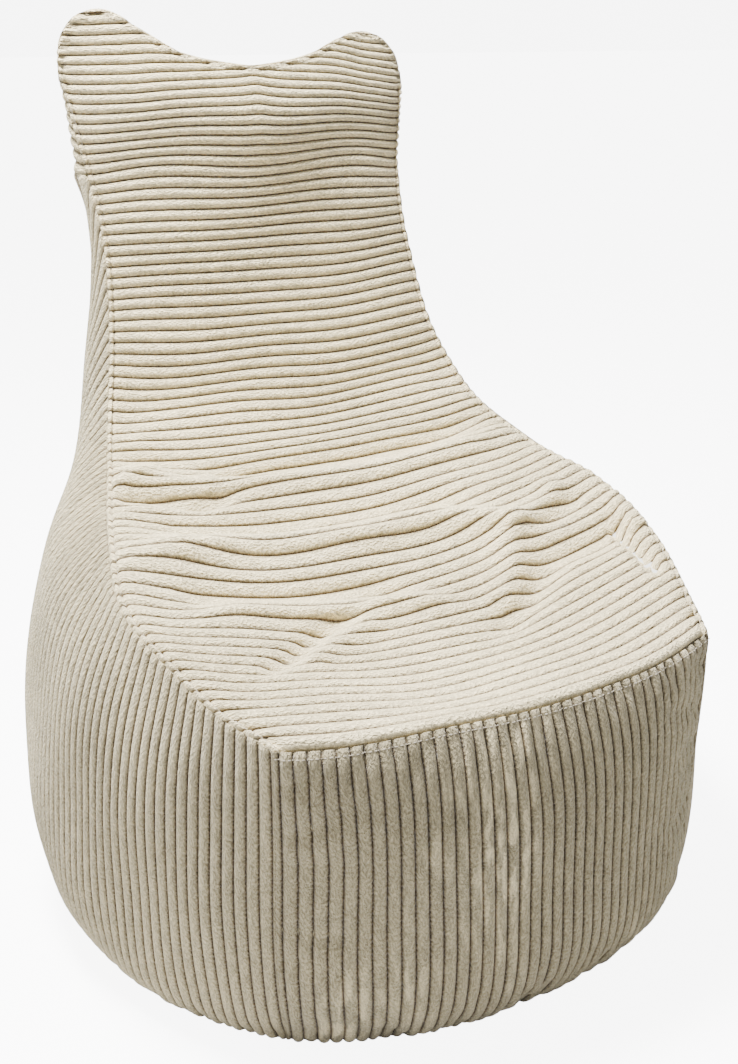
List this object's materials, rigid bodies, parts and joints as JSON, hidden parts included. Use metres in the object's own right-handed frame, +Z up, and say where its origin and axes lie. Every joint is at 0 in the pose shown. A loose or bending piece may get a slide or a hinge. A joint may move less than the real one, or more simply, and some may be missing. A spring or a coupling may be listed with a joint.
{
  "type": "bean bag chair",
  "caption": "High-backed bean bag chair in wide-wale corduroy with two soft ears, a dished seat, a bead-filled inner bag and child-safe zips.",
  "frame": {"origin": "middle of the base on the floor", "axes": "+Z up, -Y towards the front of the seat, +X the sitter's left; the chair mirrors about X = 0"},
  "size_m": [0.7312, 0.7254, 0.9098],
  "materials": {
    "corduroy": "matte",
    "base_cloth": "matte",
    "bag_cloth": "matte",
    "beads": "matte",
    "zip_tape": "matte",
    "zip_coil": "satin",
    "zip_metal": "satin",
    "label": "satin"
  },
  "bodies": {
    "chair": {"cover_front": "corduroy", "cover_seat_back": "corduroy", "cover_side_left": "corduroy", "cover_side_right": "corduroy", "cover_back": "corduroy", "cover_head_back": "corduroy", "cover_base_front": "base_cloth", "cover_base_rear": "base_cloth", "bag_front": "bag_cloth", "bag_seat_back": "bag_cloth", "bag_side_left": "bag_cloth", "bag_side_right": "bag_cloth", "bag_back": "bag_cloth", "bag_head_back": "bag_cloth", "bag_base_front": "bag_cloth", "bag_base_rear": "bag_cloth", "bead_fill": "beads", "cover_zip_tape_front": "zip_tape", "cover_zip_coil_front": "zip_coil", "cover_zip_tape_rear": "zip_tape", "cover_zip_coil_rear": "zip_coil", "cover_zip_stop_closed_end": "zip_metal", "cover_zip_stop_open_end": "zip_metal", "bag_zip_tape_front": "zip_tape", "bag_zip_coil_front": "zip_coil", "bag_zip_tape_rear": "zip_tape", "bag_zip_coil_rear": "zip_coil", "bag_zip_stop_closed_end": "zip_metal", "bag_zip_stop_open_end": "zip_metal", "care_label": "label"},
    "cover_slider": {"cover_zip_slider": "zip_metal"},
    "bag_slider": {"bag_zip_slider": "zip_metal"}
  },
  "joints": [
    {"name": "cover_zip", "type": "slide", "parent": "chair", "child": "cover_slider", "axis": [1, 0, 0], "range_m": [0, 0.454]},
    {"name": "bag_zip", "type": "slide", "parent": "chair", "child": "bag_slider", "axis": [1, 0, 0], "range_m": [0, 0.374]}
  ]
}
